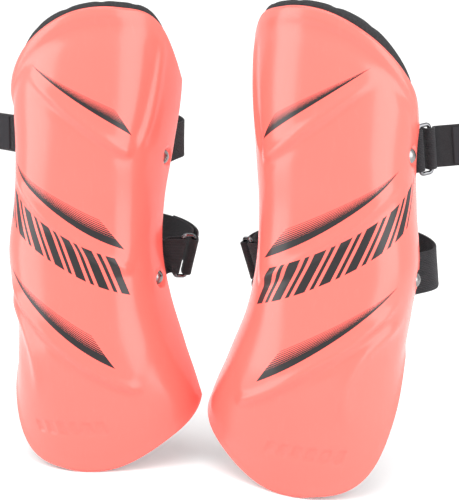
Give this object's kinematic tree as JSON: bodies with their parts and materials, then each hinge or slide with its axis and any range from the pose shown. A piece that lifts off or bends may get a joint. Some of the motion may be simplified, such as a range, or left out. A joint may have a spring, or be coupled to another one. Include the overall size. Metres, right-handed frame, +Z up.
{
  "type": "shin guards",
  "caption": "Pair of moulded ski-race shin guards: curved glossy shells with foam liners, riveted webbing straps, steel rings and hook-tape tails.",
  "frame": {"origin": "on the left guard's leg axis at the height of its lowest point; the right guard is its mirror image 212 mm along +X", "axes": "+Z up the shin, -Y towards the front of the leg, +X from the left guard as drawn towards the right one"},
  "size_m": [0.438, 0.1704, 0.3927],
  "materials": {
    "shell_plastic": "gloss moulded polypropylene in coral, with black graphics",
    "foam": "matt closed-cell EVA foam",
    "lining_fabric": "brushed knitted polyester",
    "webbing": "ribbed polyamide webbing with a loop-pile face",
    "hook_tape": "hook tape",
    "ring_steel": "polished steel wire",
    "rivet_steel": "domed plated steel caps"
  },
  "bodies": {
    "left_guard": {"left_shell": "shell_plastic", "left_liner": "foam", "left_lining": "lining_fabric", "left_rivets": "rivet_steel", "left_washers": "rivet_steel"},
    "left_upper_loop": {"left_upper_strap": "webbing", "left_upper_tab": "webbing"},
    "left_upper_ring": {"left_upper_ring": "ring_steel"},
    "left_upper_tail": {"left_upper_tail": "webbing", "left_upper_hook": "hook_tape"},
    "left_lower_loop": {"left_lower_strap": "webbing", "left_lower_tab": "webbing"},
    "left_lower_ring": {"left_lower_ring": "ring_steel"},
    "left_lower_tail": {"left_lower_tail": "webbing", "left_lower_hook": "hook_tape"},
    "right_guard": {"right_shell": "shell_plastic", "right_liner": "foam", "right_lining": "lining_fabric", "right_rivets": "rivet_steel", "right_washers": "rivet_steel"},
    "right_upper_loop": {"right_upper_strap": "webbing", "right_upper_tab": "webbing"},
    "right_upper_ring": {"right_upper_ring": "ring_steel"},
    "right_upper_tail": {"right_upper_tail": "webbing", "right_upper_hook": "hook_tape"},
    "right_lower_loop": {"right_lower_strap": "webbing", "right_lower_tab": "webbing"},
    "right_lower_ring": {"right_lower_ring": "ring_steel"},
    "right_lower_tail": {"right_lower_tail": "webbing", "right_lower_hook": "hook_tape"}
  },
  "joints": [
    {"name": "right_guard_slide", "type": "slide", "parent": "left_guard", "child": "right_guard", "axis": [1, 0, 0], "range_m": [0, 0.15]},
    {"name": "left_upper_loop_tilt", "type": "hinge", "parent": "left_guard", "child": "left_upper_loop", "pos_m": [-0.00185, -0.011, 0.267], "axis": [0.986, 0.1491, -0.0745], "range_deg": [-12, 12]},
    {"name": "left_upper_ring_swing", "type": "hinge", "parent": "left_upper_loop", "child": "left_upper_ring", "pos_m": [-0.0697, 0.00592, 0.27319], "axis": [0.0899, -0.1198, 0.9887], "range_deg": [-4.5, 4.5]},
    {"name": "left_upper_tail_peel", "type": "hinge", "parent": "left_upper_loop", "child": "left_upper_tail", "pos_m": [-0.07968, 0.01731, 0.27548], "axis": [0.0899, -0.1198, 0.9887], "range_deg": [-80, 20]},
    {"name": "left_lower_loop_tilt", "type": "hinge", "parent": "left_guard", "child": "left_lower_loop", "pos_m": [-0.0055, -0.0185, 0.164], "axis": [0.9961, -0.0215, -0.086], "range_deg": [-12, 3]},
    {"name": "left_lower_ring_swing", "type": "hinge", "parent": "left_lower_loop", "child": "left_lower_ring", "pos_m": [0.06984, 0.01346, 0.17153], "axis": [0.2702, -0.1001, 0.9576], "range_deg": [-4.5, 4.5]},
    {"name": "left_lower_tail_peel", "type": "hinge", "parent": "left_lower_loop", "child": "left_lower_tail", "pos_m": [0.08001, 0.025, 0.16986], "axis": [-0.2702, 0.1001, -0.9576], "range_deg": [0, 50]},
    {"name": "right_upper_loop_tilt", "type": "hinge", "parent": "right_guard", "child": "right_upper_loop", "pos_m": [0.21385, -0.011, 0.267], "axis": [0.986, -0.1491, 0.0745], "range_deg": [-12, 12]},
    {"name": "right_upper_ring_swing", "type": "hinge", "parent": "right_upper_loop", "child": "right_upper_ring", "pos_m": [0.2817, 0.00592, 0.27319], "axis": [0.0899, 0.1198, -0.9887], "range_deg": [-4.5, 4.5]},
    {"name": "right_upper_tail_peel", "type": "hinge", "parent": "right_upper_loop", "child": "right_upper_tail", "pos_m": [0.29168, 0.01731, 0.27548], "axis": [0.0899, 0.1198, -0.9887], "range_deg": [-80, 20]},
    {"name": "right_lower_loop_tilt", "type": "hinge", "parent": "right_guard", "child": "right_lower_loop", "pos_m": [0.2175, -0.0185, 0.164], "axis": [0.9961, 0.0215, 0.086], "range_deg": [-12, 3]},
    {"name": "right_lower_ring_swing", "type": "hinge", "parent": "right_lower_loop", "child": "right_lower_ring", "pos_m": [0.14216, 0.01346, 0.17153], "axis": [0.2702, 0.1001, -0.9576], "range_deg": [-4.5, 4.5]},
    {"name": "right_lower_tail_peel", "type": "hinge", "parent": "right_lower_loop", "child": "right_lower_tail", "pos_m": [0.13199, 0.025, 0.16986], "axis": [-0.2702, -0.1001, 0.9576], "range_deg": [0, 50]}
  ]
}
